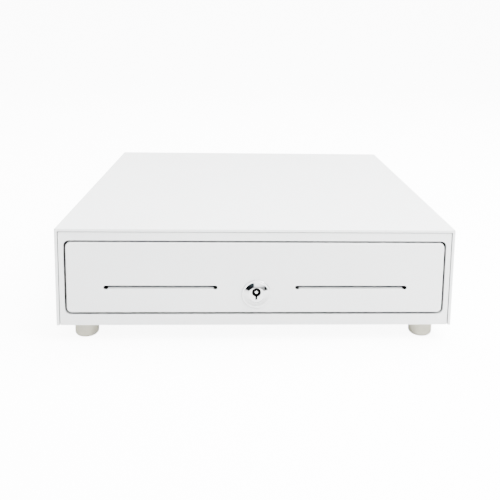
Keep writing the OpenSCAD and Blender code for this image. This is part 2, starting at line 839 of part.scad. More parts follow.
// Outline of a (y, z) hollow with round lower corners, open at the top
module scoop(y0, y1, z0, z1, r) {
    translate([y0 + r, z0]) square([y1 - y0 - 2 * r, z1 - z0]);
    translate([y0, z0 + r]) square([y1 - y0, z1 - z0 - r]);
    for (y = [y0 + r, y1 - r]) translate([y, z0 + r]) circle(r);
}

// Black till with a well for the coin tray and five note compartments
module till_tray() {
    color(black_c) difference() {
        union() {
            translate([0, (till_front + till_back) / 2, till_under])
                linear_extrude(till_top - till_under) round_rect(2 * till_half, till_back - till_front, 4);
            translate([0, (tray_y + 3 + till_back + 5) / 2, till_top - rim])
                linear_extrude(rim) round_rect(2 * rim_half, till_back + 5 - tray_y - 3, 4);
        }
        along_x(-till_half + till_wall, till_half - till_wall)
            scoop(till_front + till_wall, till_front + till_wall + coin_depth, till_floor, till_top + 2, 1);
        for (i = [0 : note_count - 1])
            translate([note_x(i), 0, 0]) along_x(-note_w / 2, note_w / 2)
                scoop(note_front, note_back, till_floor, till_top + 2, 6);
        // Bore for the clips' rod
        translate([0, rod_y, rod_z]) rotate([0, 90, 0]) cylinder(r = rod_r + run_gap, h = 347, center = true);
    }
}

// Middle of note compartment i
function note_x(i) = (i - (note_count - 1) / 2) * (note_w + till_wall);

// Loose tray of coin cups that stands in the till's well
module coin_tray() {
    half = till_half - till_wall - 0.8;
    y0 = till_front + till_wall + 0.8;
    y1 = till_front + till_wall + coin_depth - 0.8;
    low = till_floor + 0.2;
    high = till_top - 1;
    cup_w = (2 * half - till_wall * (cup_columns + 1)) / cup_columns;
    cup_d = (y1 - y0 - till_wall * (cup_rows + 1)) / cup_rows;
    color(black_c) difference() {
        translate([0, (y0 + y1) / 2, low]) linear_extrude(high - low) round_rect(2 * half, y1 - y0, 3);
        for (c = [0 : cup_columns - 1], r = [0 : cup_rows - 1])
            translate([(c - (cup_columns - 1) / 2) * (cup_w + till_wall), 0, 0])
                along_x(-cup_w / 2, cup_w / 2)
                    scoop(y0 + till_wall + r * (cup_d + till_wall),
                        y0 + till_wall + r * (cup_d + till_wall) + cup_d, low + till_wall, high + 2, 18);
    }
}

// Rod through the till's dividers that the note clips turn on
module clip_rod() {
    color(steel_c) translate([0, rod_y, rod_z]) rotate([0, 90, 0])
        cylinder(r = rod_r, h = 346, center = true);
}

// Torsion spring beside each clip's hub
module clip_springs() {
    color(steel_c) for (i = [0 : note_count - 1])
        translate([note_x(i) + hub_w / 2 + 1.2, rod_y, rod_z]) rotate([0, 90, 0])
            coil_rings(3.2, 0.6, 5, 1.3);
}

// Note clip: a hub on the rod, an arm down to the till's floor, a foot and a thumb tab
module note_clip(i) {
    tip = [rod_y - clip_len * cos(clip_drop), rod_z - clip_len * sin(clip_drop)];
    color(black_c) difference() {
        union() {
            translate([note_x(i), 0, 0]) along_x(-hub_w / 2, hub_w / 2)
                translate([rod_y, rod_z]) circle(hub_r);
            translate([note_x(i), 0, 0]) along_x(-clip_w / 2, clip_w / 2) {
                translate([rod_y, rod_z]) rotate(180 + clip_drop) {
                    translate([0, -1.25]) square([clip_len - 8, 2.5]);
                    translate([clip_len - 9, -1.25]) rotate(8) square([9, 2.3]);
                }
                translate(tip) circle(tip_r);
            }
        }
        translate([note_x(i), rod_y, rod_z]) rotate([0, 90, 0])
            cylinder(r = rod_r + run_gap, h = hub_w + 2, center = true);
    }
}

module note_clip_1() note_clip(0);
module note_clip_2() note_clip(1);
module note_clip_3() note_clip(2);
module note_clip_4() note_clip(3);
module note_clip_5() note_clip(4);

// ---- Latch ----

// Folded bracket that carries the solenoid and the hook above the pan
module latch_bracket() {
    t = 1.5;
    x0 = -76;
    x1 = -6.5;
    y0 = tray_back + 7;
    y1 = tray_back + 43;
    color(steel_c) difference() {
        union() {
            box([x0, y0, platform_z - t], [x1, y1, platform_z]);
            box([x0, y0, pan_top], [x0 + t, y1, platform_z]);
            box([x1 - t, y0, pan_top], [x1, y1, platform_z]);
            box([x0, y0, pan_top], [x0 + 14, y1, pan_top + t]);
            box([x1 - 12, y0, pan_top], [x1, y1, pan_top + t]);
        }
        for (p = latch_screw_places) translate([p[0], p[1], pan_top - eps]) cylinder(r = 1.7, h = 3);
        translate([latch_x, latch_y, platform_z - t - eps]) cylinder(r = 2.02, h = 4);
    }
}

// Pin that the hook turns on, with a head above
module latch_pivot_pin() {
    color(chrome_c) translate([latch_x, latch_y, 0]) {
        translate([0, 0, platform_z - 1.5]) cylinder(r = 2, h = hook_z + hook_t + 0.4 - platform_z + 1.5);
        translate([0, 0, hook_z + hook_t + 0.4]) cylinder(r = 3.6, h = 1.2);
        translate([0, 0, hook_z - 2]) cylinder(r = 3.6, h = 1.7);
    }
}

// Torsion spring around the pin, below the hook
module latch_spring() {
    color(steel_c) translate([latch_x, latch_y, platform_z + 0.9]) coil_rings(3.4, 0.6, 9, 1.35);
}

// Flat hook with a ramped nose in front of the striker pin
module latch_hook() {
    color(zinc_c) difference() {
        translate([0, 0, hook_z]) linear_extrude(hook_t) {
            translate([latch_x, latch_y]) circle(6);
            polygon([
                [latch_x - 6, latch_y], [latch_x - 4, latch_y - 14], [-14.5, strike_y - 11],
                [-11, strike_y - 12.4], [2.5, strike_y - 4.6], [2.5, strike_y - 3.1],
                [-4.6, strike_y - 3.1], [-5.6, strike_y + 3], [latch_x + 5.6, latch_y - 2]
            ]);
        }
        translate([latch_x, latch_y, hook_z - eps]) cylinder(r = 2.05, h = 4);
        translate([link_x, link_y, hook_z - eps]) cylinder(r = 2.1, h = 4);
    }
}

// Bent steel yoke of the solenoid
module solenoid_frame() {
    t = 1.5;
    low = platform_z;
    high = solenoid_z + 11.4;
    color(steel_c) difference() {
        union() {
            box([-72, solenoid_y - 11, low], [-44, solenoid_y + 11, low + t]);
            box([-72, solenoid_y - 11, low], [-72 + t, solenoid_y + 11, high]);
            box([-44 - t, solenoid_y - 11, low], [-44, solenoid_y + 11, high]);
        }
        translate([-46.5, solenoid_y, solenoid_z]) rotate([0, 90, 0]) cylinder(r = 3.8, h = 4);
    }
}

// Taped winding with its bore
module solenoid_coil() {
    color(tape_c) translate([-70.4, solenoid_y, solenoid_z]) rotate([0, 90, 0]) difference() {
        cylinder(r = 10.8, h = 24.8);
        translate([0, 0, 2]) cylinder(r = 3.8, h = 24);
    }
}

// Solenoid plunger with a flat tongue and the link pin that pulls the hook
module solenoid_plunger() {
    tongue = 1.6;
    color(steel_c) {
        translate([-63, solenoid_y, solenoid_z]) rotate([0, 90, 0]) cylinder(r = 3.55, h = 29);
        translate([0, 0, solenoid_z - tongue / 2 - 0.4]) linear_extrude(tongue) {
            translate([-36, link_y - 3.2]) square([36 + link_x, 6.4]);
            translate([link_x, link_y]) circle(3.2);
        }
        translate([link_x, link_y, solenoid_z - 1]) cylinder(r = 1.2, h = 5.6);
    }
}

// ---- Ejector and drawer switch ----

// Upright plate for the ejector, with a foot on the pan and a shelf for the switch
module rear_bracket() {
    t = 1.5;
    x1 = 76;
    color(steel_c) difference() {
        union() {
            box([24, plate_y, pan_top], [x1, plate_y + t, eject_z + 12]);
            box([24, plate_y - 14, pan_top], [x1, plate_y + t, pan_top + t]);
            box([24, switch_y - 1.5, switch_z - t], [52, plate_y + t, switch_z]);
        }
        for (p = rear_foot_places) translate([p[0], p[1], pan_top - eps]) cylinder(r = 1.7, h = 3);
        box([switch_x, plate_y - eps, switch_z], [switch_x + 18, plate_y + t + eps, switch_z + 8.5]);
        translate([eject_x, plate_y - eps, eject_z]) rotate([-90, 0, 0]) cylinder(r = 7.12, h = 4);
    }
}

// Screws up through the pan into the latch bracket and the rear bracket
module bracket_screws() {
    color(zinc_c) for (p = concat(latch_screw_places, rear_foot_places))
        translate([p[0], p[1], pan_z]) mirror([0, 0, 1]) pan_screw(1.55, 4.5, 2.9, 1.1);
}

// Tube of the ejector, closed behind and guiding the rod in front
module ejector_tube() {
    color(black_c) translate([eject_x, tray_back + 6, eject_z]) rotate([-90, 0, 0]) difference() {
        union() {
            cylinder(r = 7.05, h = 37.5);
            translate([0, 0, 19]) cylinder(r = 9, h = 3);
        }
        translate([0, 0, 2]) cylinder(r = eject_in_r, h = 34);
        translate([0, 0, -eps]) cylinder(r = 3.05, h = 4);
    }
}

// Compressed spring behind the rod's collar
module ejector_spring() {
    color(steel_c) translate([eject_x, tray_back + 33.6, eject_z]) rotate([-90, 0, 0])
        coil_rings(4.6, 0.7, 5, 1.6);
}

// Push rod with its collar inside the tube and a rubber tip on the tray's back
module ejector_rod() {
    color(black_c) translate([eject_x, tray_back + 0.3, eject_z]) rotate([-90, 0, 0]) {
        cylinder(r = 3, h = 32);
        translate([0, 0, 29]) cylinder(r = 5.6, h = 3);
        cylinder(r = 5.5, h = 4.5);
    }
}

// Microswitch body on its shelf, with two ears for the lever's pin
module switch_body() {
    ear_t = 0.8;
    color(black_c) difference() {
        union() {
            box([switch_x, switch_y, switch_z], [switch_x + 20, switch_y + 10, switch_z + 6.4]);
            for (x = [3, 10, 17])
                box([switch_x + x - 0.4, switch_y + 10, switch_z + 1.6],
                    [switch_x + x + 0.4, switch_y + 14, switch_z + 4.8]);
            for (z = [switch_z + 0.8, switch_z + 5.6 - ear_t])
                box([lever_x - 1.2, lever_y - 1.1, z], [lever_x + 1.2, switch_y + 1, z + ear_t]);
        }
        for (x = [5, 15])
            translate([switch_x + x, switch_y + 7, switch_z - eps]) cylinder(r = 1.2, h = 8);
        translate([lever_x, lever_y, switch_z + 0.5]) cylinder(r = lever_pin_r + run_gap, h = 5.4);
    }
}

// Switch lever: a sleeve with its pin, a flat arm and a roller against the tray's back
module switch_lever() {
    z = switch_z + 3.2;
    roller_r = 2.2;
    color(steel_c) {
        translate([lever_x, lever_y, z - 1.5]) cylinder(r = 0.9, h = 3);
        translate([lever_x, lever_y, z - 2.3]) cylinder(r = lever_pin_r, h = 4.6);
        translate([0, 0, z - 1.5]) linear_extrude(3)
            polygon([
                [lever_x, lever_y + 0.5], [switch_x + 19, switch_y - 4.6],
                [switch_x + 19, switch_y - 5.2], [lever_x, lever_y - 0.5]
            ]);
        translate([switch_x + 20, tray_back + 0.3 + roller_r, z - 2]) cylinder(r = roller_r, h = 4);
    }
}

// ---- Electrics ----

// Circuit board with its parts
module interface_board() {
    color(board_c) difference() {
        box([board_x - 26, board_y, board_z], [board_x + 26, back_y - 8, board_z + board_t]);
        for (x = [-22.5, 22.5], y = [board_y + 3.5, back_y - 12])
            translate([board_x + x, y, board_z - eps]) cylinder(r = 1.3, h = 3);
    }
    color(black_c) {
        box([board_x + 10, board_y + 8, board_z + board_t], [board_x + 16, board_y + 14, board_z + 3.4]);
        box([board_x - 18, board_y + 10, board_z + board_t], [board_x - 13, board_y + 14, board_z + 3.4]);
    }
}

// Standoffs under the board, with screw heads above it
module board_standoffs() {
    color(brass_c) for (x = [-22.5, 22.5], y = [board_y + 3.5, back_y - 12])
        translate([board_x + x, y, 0]) {
            translate([0, 0, pan_top]) cylinder(r = 2.6, h = board_z - pan_top, $fn = 6);
            translate([0, 0, board_z]) cylinder(r = 1.2, h = board_t);
            translate([0, 0, board_z + board_t]) cylinder(r = 2.4, h = 1.3);
        }
}

// Six-way socket that faces out of the rear panel
module rj_socket() {
    z = board_z + board_t;
    color(black_c) difference() {
        box([board_x - socket_w / 2, socket_y - 16, z], [board_x + socket_w / 2, socket_y, z + socket_h]);
        box([board_x - 5, socket_y - 13, z + 2.4], [board_x + 5, socket_y + eps, z + 9.4]);
        box([board_x - 1.9, socket_y - 13, z + 1], [board_x + 1.9, socket_y + eps, z + 3]);
    }
}

// Sprung contact wires along the socket's roof
module socket_contacts() {
    z = board_z + board_t;
    color(brass_c) for (i = [0 : 5])
        translate([board_x + (i - 2.5) * 1.02, 0, 0])
            along_x(-0.2, 0.2) polygon([
                [socket_y - 13, z + 9.4], [socket_y - 13, z + 9], [socket_y - 8, z + 7.2],
                [socket_y - 7.7, z + 7.5], [socket_y - 12.4, z + 9.4]
            ]);
}

// Leads from the board to the solenoid and the switch, along the back of the case
module wire_harness() {
    z = board_z + board_t + 0.9;
    start_x = board_x + 18;
    run_y = back_y - 12;
    pitch = 2.4;
    wire_r = 0.8;
    color([0.7, 0.1, 0.1]) for (i = [0, 1])
        wire([
            [start_x, board_y + 22 - i * pitch, z],
            [start_x + 14, board_y + 22 - i * pitch, z + 2],
            [start_x + 32, run_y - i * pitch, z + 5],
            [-78.2, run_y - i * pitch, z + 9],
            [-78.2, run_y - i * pitch, platform_z + 5],
            [-73.2, solenoid_y + 7 - i * pitch, platform_z + 10]
        ], wire_r);
    color([0.1, 0.1, 0.12]) for (i = [0, 1])
        wire([
            [start_x, board_y + 14 - i * pitch, z],
            [start_x + 20, board_y + 14 - i * pitch, z + 1],
            [start_x + 32, tray_back + 4.8 - i * pitch, pan_top + 2],
            [14 + i * pitch, tray_back + 4.8 - i * pitch, pan_top + 2],
            [16 + i * pitch, plate_y + 7, pan_top + 4],
            [16 + i * pitch, plate_y + 7, switch_z - 8],
            [switch_x + 3 + i * 7, plate_y + 5, switch_z + 4],
            [switch_x + 3 + i * 7, switch_y + 15.2, switch_z + 4]
        ], wire_r);
}

cover();
base_pan();
front_frame();
rear_panel();
foot_front_left();
foot_front_right();
foot_rear_left();
foot_rear_right();
foot_bolts();
case_screws();
rear_screws();
rail_left();
rail_right();
slide_outer_left();
slide_outer_right();
rail_screws();
latch_bracket();
latch_pivot_pin();
latch_spring();
solenoid_frame();
solenoid_coil();
rear_bracket();
bracket_screws();
ejector_tube();
ejector_spring();
switch_body();
interface_board();
board_standoffs();
rj_socket();
socket_contacts();
wire_harness();
slide_middle_left();
slide_middle_right();
outer_ball_cages();
inner_ball_cages();
drawer_front();
drawer_tray();
slide_inner_left();
slide_inner_right();
drawer_screws();
till_ledges();
lock_body();
lock_nut();
striker_bracket();
striker_pin();
till_tray();
coin_tray();
clip_rod();
clip_springs();
note_clip_1();
note_clip_2();
note_clip_3();
note_clip_4();
note_clip_5();
lock_plug();
lock_shaft();
latch_hook();
solenoid_plunger();
ejector_rod();
switch_lever();
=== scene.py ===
"""Looks of the white cash drawer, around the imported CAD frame. Lengths are in metres."""

import json
import math

import bmesh
import bpy
from mathutils import Matrix, Vector


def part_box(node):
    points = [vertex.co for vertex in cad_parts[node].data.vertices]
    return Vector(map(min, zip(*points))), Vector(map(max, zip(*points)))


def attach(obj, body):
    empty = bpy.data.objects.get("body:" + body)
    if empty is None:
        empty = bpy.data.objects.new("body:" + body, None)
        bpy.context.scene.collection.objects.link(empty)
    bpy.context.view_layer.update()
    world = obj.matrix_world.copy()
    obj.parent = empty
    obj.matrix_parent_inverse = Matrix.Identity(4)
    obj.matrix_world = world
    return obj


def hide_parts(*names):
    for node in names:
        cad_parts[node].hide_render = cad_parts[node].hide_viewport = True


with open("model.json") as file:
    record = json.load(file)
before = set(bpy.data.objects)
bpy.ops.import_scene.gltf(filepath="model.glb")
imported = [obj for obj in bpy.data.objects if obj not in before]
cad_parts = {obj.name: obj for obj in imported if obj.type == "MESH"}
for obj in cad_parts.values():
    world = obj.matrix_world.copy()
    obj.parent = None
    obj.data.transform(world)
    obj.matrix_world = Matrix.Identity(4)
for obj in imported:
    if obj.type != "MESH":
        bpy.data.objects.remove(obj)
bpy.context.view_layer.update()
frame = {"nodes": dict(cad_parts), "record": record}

MM = 0.001
NODES = frame["nodes"]
BODY_OF = {n: b for b, ns in frame["record"]["behaviour"]["bodies"].items() for n in ns}
SLOT_OF = {s["node"]: s["material_slot"] for s in frame["record"]["subparts"]}
case_front_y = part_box("cover")[0][1]


# ---- Camera ----

# Place of the lens in metres: beside the case's middle, in front of its front edge and above the floor
CAM_SIDE = -0.0209
CAM_BACK = 0.6514
CAM_HEIGHT = 0.3232
# How it points: down, to the right and rolled
CAM_PITCH = math.radians(8.27)
CAM_YAW = math.radians(2.38)
CAM_ROLL = math.radians(0.94)
# Focal length and sensor width in millimetres, and the shift as a part of the frame
CAM_LENS = 47.67
CAM_SENSOR = 36.0
CAM_SHIFT = (-0.0301, -0.25)


def make_camera():
    """Camera at the height and angle of a person standing close in front of the drawer."""
    data = bpy.data.cameras.new("camera")
    data.lens = CAM_LENS
    data.sensor_width = CAM_SENSOR
    data.shift_x, data.shift_y = CAM_SHIFT
    camera = bpy.data.objects.new("camera", data)
    bpy.context.scene.collection.objects.link(camera)
    level = math.cos(CAM_PITCH)
    ahead = Vector((math.sin(CAM_YAW) * level, math.cos(CAM_YAW) * level, -math.sin(CAM_PITCH)))
    right = Vector((math.cos(CAM_YAW), -math.sin(CAM_YAW), 0))
    up = right.cross(ahead)
    rolled_right = right * math.cos(CAM_ROLL) + up * math.sin(CAM_ROLL)
    rolled_up = up * math.cos(CAM_ROLL) - right * math.sin(CAM_ROLL)
    turn = Matrix((rolled_right, rolled_up, -ahead)).transposed().to_4x4()
    camera.matrix_world = Matrix.Translation((CAM_SIDE, case_front_y - CAM_BACK, CAM_HEIGHT)) @ turn
    bpy.context.scene.camera = camera


make_camera()


# ---- Material helpers ----


class Nodes:
    """Helpers that add nodes to a node tree."""

    def __init__(self, tree):
        self.tree = tree

    def node(self, kind, **values):
        made = self.tree.nodes.new(kind)
        for key, value in values.items():
            setattr(made, key, value)
        return made

    def link(self, source, target):
        self.tree.links.new(source, target)

    def math(self, operation, a, b):
        made = self.node("ShaderNodeMath", operation=operation)
        self.link(a, made.inputs[0])
        self.link(b, made.inputs[1])
        return made.outputs[0]

    def span(self, source, low, high, out_low, out_high):
        """Maps source from low..high to out_low..out_high, clamped."""
        made = self.node("ShaderNodeMapRange")
        for key, value in zip(
            ("From Min", "From Max", "To Min", "To Max"), (low, high, out_low, out_high)
        ):
            made.inputs[key].default_value = value
        self.link(source, made.inputs["Value"])
        return made.outputs["Result"]

    def axis(self, coords, name):
        """One coordinate of a vector."""
        made = self.node("ShaderNodeSeparateXYZ")
        self.link(coords, made.inputs["Vector"])
        return made.outputs[name]

    def mix(self, factor, first, second):
        """Colour from first to second by factor."""
        made = self.node("ShaderNodeMix", data_type="RGBA")
        made.inputs["A"].default_value = (*first, 1.0)
        made.inputs["B"].default_value = (*second, 1.0)
        self.link(factor, made.inputs["Factor"])
        return made.outputs["Result"]


class Shader(Nodes):
    """A material under construction: a node tree with its principled shader."""

    def __init__(self, name, colour, rough, metallic=0.0, specular=0.5):
        self.material = bpy.data.materials.new(name)
        self.material.use_nodes = True
        super().__init__(self.material.node_tree)
        self.main = self.tree.nodes["Principled BSDF"]
        self.set("Base Color", (*colour, 1.0))
        self.set("Roughness", rough)
        self.set("Metallic", metallic)
        self.set("Specular IOR Level", specular)
        self.coords = self.tree.nodes.new("ShaderNodeTexCoord").outputs["Object"]
        self.normal = None

    def set(self, socket, value):
        self.main.inputs[socket].default_value = value

    def stretched(self, scale, turn=(0, 0, 0)):
        """Object coordinates, scaled apart along each axis."""
        made = self.node("ShaderNodeMapping")
        made.inputs["Scale"].default_value = scale
        made.inputs["Rotation"].default_value = turn
        self.link(self.coords, made.inputs["Vector"])
        return made.outputs["Vector"]

    def noise(self, scale, detail=2.0, rough=0.5, coords=None):
        made = self.node("ShaderNodeTexNoise")
        made.inputs["Scale"].default_value = scale
        made.inputs["Detail"].default_value = detail
        made.inputs["Roughness"].default_value = rough
        self.link(coords or self.coords, made.inputs["Vector"])
        return made.outputs["Fac"]

    def cells(self, scale, output="Distance"):
        made = self.node("ShaderNodeTexVoronoi")
        made.inputs["Scale"].default_value = scale
        self.link(self.coords, made.inputs["Vector"])
        return made.outputs[output]

    def plus(self, a, b):
        return self.math("ADD", a, b)

    def colour(self, factor, first, second):
        """Base colour from first to second by factor."""
        self.link(self.mix(factor, first, second), self.main.inputs["Base Color"])

    def painted_crevice_shade(self, reach):
        """1 deep in a crevice of about that reach, 0 on an open face: an occlusion mask for shade
        painted into colour.
        """
        made = self.node("ShaderNodeAmbientOcclusion", samples=8)
        made.inputs["Distance"].default_value = reach
        return self.span(made.outputs["AO"], 0.1, 0.6, 1, 0)

    def rough(self, source):
        self.link(source, self.main.inputs["Roughness"])

    def bump(self, height, depth, strength=1.0):
        """Adds a bump of the given depth in metres on what is there already."""
        made = self.node("ShaderNodeBump")
        made.inputs["Strength"].default_value = strength
        made.inputs["Distance"].default_value = depth
        self.link(height, made.inputs["Height"])
        if self.normal:
            self.link(self.normal, made.inputs["Normal"])
        self.normal = made.outputs["Normal"]
        self.link(self.normal, self.main.inputs["Normal"])


def tint(colour, factor):
    """The colour made darker or lighter by a factor."""
    return tuple(c * factor for c in colour)


# ---- Materials ----

CHROME_COLOUR = (0.66, 0.665, 0.66)


def powder_coat():
    """Satin powder coat: orange peel, finer grain, faint patches, rare scuffs, and shade painted darker
    into its crevices.
    """
    colour, rough = (0.8, 0.805, 0.8), 0.4
    s = Shader("powder_coat_white", colour, rough)
    patches = s.span(s.noise(9, detail=4, rough=0.6), 0.3, 0.75, 0, 0.04)
    # Base colour: faint random tone patches plus painted shade, an occlusion mask that darkens the
    # paint in crevices, seams and gaps
    s.colour(s.plus(s.painted_crevice_shade(8 * MM), patches), colour, tint(colour, 0.22))
    scuffs = s.noise(60, detail=5, rough=0.7, coords=s.stretched((1, 7, 1.5), (0.1, 0.2, 0.5)))
    worn = s.span(scuffs, 0.66, 0.78, 0, 0.1)
    s.rough(s.plus(s.span(s.noise(30, detail=3), 0.3, 0.7, rough - 0.04, rough + 0.05), worn))
    s.bump(s.noise(520, detail=1.5), 0.00004, 0.5)
    s.bump(s.noise(2600, detail=1), 0.00001, 0.35)
    return s.material


def galvanised():
    """Zinc-coated sheet: angular spangles of differing brightness, with fine rolling marks."""
    colour = (0.6, 0.615, 0.63)
    s = Shader("galvanised_steel", colour, 0.36, metallic=1.0)
    flakes = s.node("ShaderNodeSeparateColor")
    s.link(s.cells(110, output="Color"), flakes.inputs["Color"])
    s.colour(flakes.outputs["Red"], tint(colour, 0.86), tint(colour, 1.08))
    rolled = s.noise(700, detail=3, coords=s.stretched((1, 0.02, 1)))
    flake_rough = s.span(flakes.outputs["Green"], 0, 1, 0.26, 0.4)
    s.rough(s.plus(flake_rough, s.span(rolled, 0.3, 0.7, 0, 0.08)))
    s.bump(flakes.outputs["Blue"], 0.00002, 0.4)
    s.bump(rolled, 0.000008, 0.5)
    return s.material


def steel(name, colour, rough, grain=(1, 0.02, 1), scale=900):
    """Plain drawn or plated steel with a lengthwise grain and faint stains."""
    s = Shader(name, colour, rough, metallic=1.0)
    s.colour(s.span(s.noise(45, detail=4), 0.35, 0.7, 0, 1), colour, tint(colour, 0.88))
    lines = s.noise(scale, detail=3, coords=s.stretched(grain))
    s.rough(s.span(lines, 0.25, 0.75, rough - 0.07, rough + 0.09))
    s.bump(lines, 0.000012, 0.5)
    return s.material


def chrome():
    """Bright chrome with hairline wipe marks and slight haze."""
    s = Shader("polished_chrome", CHROME_COLOUR, 0.09, metallic=1.0)
    haze = s.noise(160, detail=4, rough=0.6)
    hair = s.noise(2500, detail=2, coords=s.stretched((1, 1, 0.04), (0, 0.6, 0)))
    s.colour(s.span(haze, 0.35, 0.7, 0, 1), CHROME_COLOUR, tint(CHROME_COLOUR, 0.93))
    s.rough(s.plus(s.span(haze, 0.3, 0.75, 0.05, 0.12), s.span(hair, 0.6, 0.8, 0, 0.08)))
    s.bump(s.noise(380, detail=2), 0.000006, 0.4)
    return s.material


def foot_rubber():
    """Cream moulded rubber: dull and blotchy, with a fine pebble."""
    colour = (0.5, 0.475, 0.385)
    s = Shader("cream_rubber", colour, 0.72, specular=0.3)
    s.colour(s.span(s.noise(120, detail=5, rough=0.65), 0.35, 0.75, 0, 1), colour, tint(colour, 0.86))
    s.rough(s.span(s.noise(260, detail=3), 0.3, 0.7, 0.62, 0.82))
    s.bump(s.cells(1900), 0.00003, 0.35)
    s.bump(s.noise(420, detail=3), 0.00004, 0.35)
    return s.material


def moulded_black(name, colour=(0.009, 0.009, 0.01), rough=0.5, grain=1500, depth=0.00004):
    """Black moulded plastic: spark-eroded grain, rubbed patches and light scratches."""
    s = Shader(name, colour, rough, specular=0.18)
    rubbed = s.noise(28, detail=5, rough=0.6)
    s.colour(s.span(rubbed, 0.35, 0.75, 0, 1), colour, tint(colour, 1.45))
    scratches = s.noise(240, detail=4, rough=0.7, coords=s.stretched((1, 0.05, 1), (0, 0, 0.35)))
    worn = s.span(scratches, 0.62, 0.75, 0, 0.14)
    s.rough(s.plus(s.span(rubbed, 0.3, 0.75, rough - 0.08, rough + 0.06), worn))
    s.bump(s.cells(grain), depth, 0.35)
    s.bump(scratches, 0.00001, 0.3)
    return s.material


def circuit_board():
    """Green solder mask over a grid of raised copper tracks."""
    green, track = (0.012, 0.1, 0.035), (0.03, 0.2, 0.07)
    s = Shader("circuit_board", green, 0.28)
    lanes = s.node("ShaderNodeTexBrick", offset=0.37)
    lanes.inputs["Scale"].default_value = 260
    lanes.inputs["Mortar Size"].default_value = 0.16
    s.link(s.coords, lanes.inputs["Vector"])
    s.colour(lanes.outputs["Fac"], green, track)
    s.rough(s.span(s.noise(300), 0.3, 0.7, 0.22, 0.36))
    s.bump(lanes.outputs["Fac"], 0.00003, 0.5)
    return s.material


def coil_tape():
    """Glossy amber polyester tape with wound turns under it."""
    colour = (0.55, 0.33, 0.03)
    s = Shader("coil_tape", colour, 0.25)
    turns = s.node("ShaderNodeTexWave", bands_direction="X")
    turns.inputs["Scale"].default_value = 700
    turns.inputs["Distortion"].default_value = 1.2
    s.link(s.coords, turns.inputs["Vector"])
    s.colour(turns.outputs["Fac"], colour, tint(colour, 0.7))
    s.rough(s.span(s.noise(200, detail=3), 0.3, 0.7, 0.18, 0.34))
    s.bump(turns.outputs["Fac"], 0.0001, 0.5)
    return s.material


def insulation():
    """Smooth wire insulation with slight handling marks."""
    colour = (0.5, 0.02, 0.015)
    s = Shader("wire_insulation", colour, 0.38)
    s.colour(s.span(s.noise(150, detail=3), 0.35, 0.7, 0, 1), colour, tint(colour, 0.75))
    s.rough(s.span(s.noise(900, detail=2), 0.3, 0.7, 0.3, 0.48))
    s.bump(s.noise(1300, detail=2), 0.00002, 0.4)
    return s.material


def plug_chrome(face_y):
    """Chrome face of the lock's plug; behind face_y its key way is dull and painted near black with
    little metal sheen, as painted shade in the hole.
    """
    s = Shader("plug_chrome", CHROME_COLOUR, 0.1)
    # Key way mask: painted shade, a near-black non-metal colour behind the plug's face where the hole
    # is only in shadow
    painted_keyway_shade = s.span(s.axis(s.coords, "Y"), face_y + 0.1 * MM, face_y + 0.5 * MM, 0, 1)
    s.colour(painted_keyway_shade, CHROME_COLOUR, (0.012, 0.012, 0.013))
    s.link(s.span(painted_keyway_shade, 0, 1, 1, 0.2), s.main.inputs["Metallic"])
    haze = s.span(s.noise(400, detail=4), 0.3, 0.75, 0.07, 0.16)
    s.rough(s.plus(haze, s.span(painted_keyway_shade, 0, 1, 0, 0.5)))
    s.bump(s.noise(380, detail=2), 0.000006, 0.4)
    return s.material


MATERIALS = {
    "white_paint": powder_coat(),
    "galvanised_steel": galvanised(),
    "chrome": chrome(),
    "bright_steel": steel("ground_steel", (0.72, 0.73, 0.74), 0.16),
    "spring_steel": steel("spring_steel", (0.32, 0.32, 0.34), 0.3, scale=1500),
    "zinc_fasteners": steel("zinc_fasteners", (0.68, 0.69, 0.68), 0.28, grain=(1, 1, 1)),
    "zinc_plate": steel("zinc_plate", (0.66, 0.66, 0.62), 0.32),
    "nickel_nut": steel("nickel_nut", (0.66, 0.64, 0.6), 0.24, grain=(1, 1, 1)),
    "brass": steel("brass", (0.72, 0.5, 0.2), 0.26, grain=(1, 1, 1)),
    "foot_rubber": foot_rubber(),
    "black_plastic": moulded_black("till_plastic"),
    "black_nylon": moulded_black(
        "black_nylon", (0.012, 0.012, 0.013), 0.4, grain=2600, depth=0.00002
    ),
    "circuit_board": circuit_board(),
    "coil_tape": coil_tape(),
    "wire_insulation": insulation(),
}


def dress(obj, slot):
    """Gives an object its slot's material alone."""
    obj.data.materials.clear()
    obj.data.materials.append(MATERIALS[slot])


for name, obj in NODES.items():
    dress(obj, SLOT_OF[name])


# ---- Pieces with finished edges ----

# Edges sharper than SHARP_ANGLE are eased, and faces within FLAT_ANGLE are joined first
SHARP_ANGLE = math.radians(35)
FLAT_ANGLE = math.radians(0.4)
WELD_DISTANCE = 0.001 * MM


def add_piece(name, mesh, node):
    """Links a new piece that rides where a CAD node does and stands for it."""
    piece = bpy.data.objects.new(name, mesh)
    bpy.context.scene.collection.objects.link(piece)
    dress(piece, SLOT_OF[node])
    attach(piece, BODY_OF[node])
    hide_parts(node)
    return piece


def eased_mesh(node, width):
    """Copy of a CAD node's mesh with its sharp edges eased by a small bevel."""
    mesh = NODES[node].data.copy()
    work = bmesh.new()
    work.from_mesh(mesh)
    bmesh.ops.remove_doubles(work, verts=work.verts, dist=WELD_DISTANCE)
    bmesh.ops.dissolve_limit(
        work, angle_limit=FLAT_ANGLE, verts=work.verts, edges=work.edges
    )
    work.to_mesh(mesh)
    work.free()
    holder = bpy.data.objects.new("holder", mesh)
    bpy.context.scene.collection.objects.link(holder)
    bevel = holder.modifiers.new("ease", "BEVEL")
    bevel.width = width
    bevel.segments = 2
    bevel.limit_method = "ANGLE"
    bevel.angle_limit = SHARP_ANGLE
    bevel.use_clamp_overlap = True
    weighted = holder.modifiers.new("normals", "WEIGHTED_NORMAL")
    weighted.keep_sharp = True
    for face in mesh.polygons:
        face.use_smooth = True
    depsgraph = bpy.context.evaluated_depsgraph_get()
    made = bpy.data.meshes.new_from_object(holder.evaluated_get(depsgraph))
    bpy.data.objects.remove(holder)
    return made


